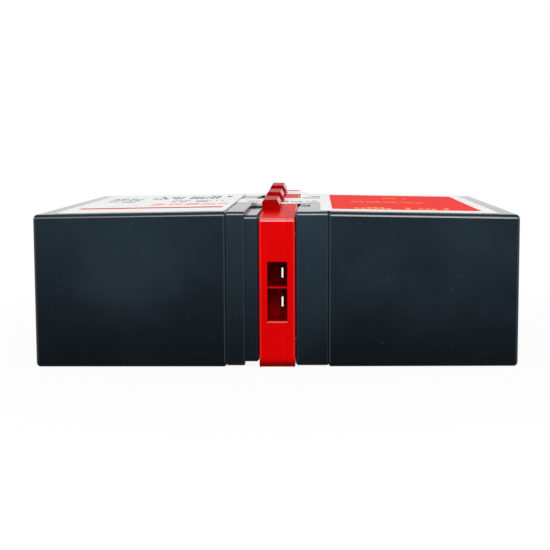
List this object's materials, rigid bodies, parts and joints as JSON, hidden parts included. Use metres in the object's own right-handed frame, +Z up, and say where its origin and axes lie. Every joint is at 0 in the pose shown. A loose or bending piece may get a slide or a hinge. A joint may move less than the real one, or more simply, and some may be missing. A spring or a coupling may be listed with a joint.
{
  "type": "ups battery cartridge",
  "caption": "Battery cartridge for an uninterruptible power supply: flat batteries lid to lid, with a red connector housing, key lugs and blade socket between them.",
  "frame": {"origin": "on the table, under the middle of the pack's footprint", "axes": "+X across the pack from the left battery to the right one, -Y towards the socket end, +Z up"},
  "size_m": [0.2014, 0.151, 0.0716],
  "materials": {
    "case_black": "fine moulded ABS",
    "housing_red": "semi-gloss moulded",
    "valve_rubber": "soft rubber",
    "tinned_brass": "tin plated",
    "resin": "cast resin",
    "lead": "cast and pasted",
    "glass_mat": "glass fibre mat",
    "lead_jacket": "PVC jacket",
    "label_film": "printed film"
  },
  "bodies": {
    "root": {"left_container": "case_black", "left_lid": "case_black", "left_vent_cover": "case_black", "left_valve_caps": "valve_rubber", "left_positive_terminal": "tinned_brass", "left_negative_terminal": "tinned_brass", "left_terminal_seals": "resin", "left_positive_plates": "lead", "left_negative_plates": "lead", "left_separators": "glass_mat", "left_positive_receptacle": "tinned_brass", "left_negative_receptacle": "tinned_brass", "right_container": "case_black", "right_lid": "case_black", "right_vent_cover": "case_black", "right_valve_caps": "valve_rubber", "right_positive_terminal": "tinned_brass", "right_negative_terminal": "tinned_brass", "right_terminal_seals": "resin", "right_positive_plates": "lead", "right_negative_plates": "lead", "right_separators": "glass_mat", "right_positive_receptacle": "tinned_brass", "right_negative_receptacle": "tinned_brass", "housing_tray": "housing_red", "housing_cover": "housing_red", "positive_blade": "tinned_brass", "negative_blade": "tinned_brass", "positive_lead": "lead_jacket", "negative_lead": "lead_jacket", "series_lead": "lead_jacket", "left_label": "label_film", "right_label": "label_film", "front_strip": "label_film", "rear_strip": "label_film"}
  },
  "joints": []
}
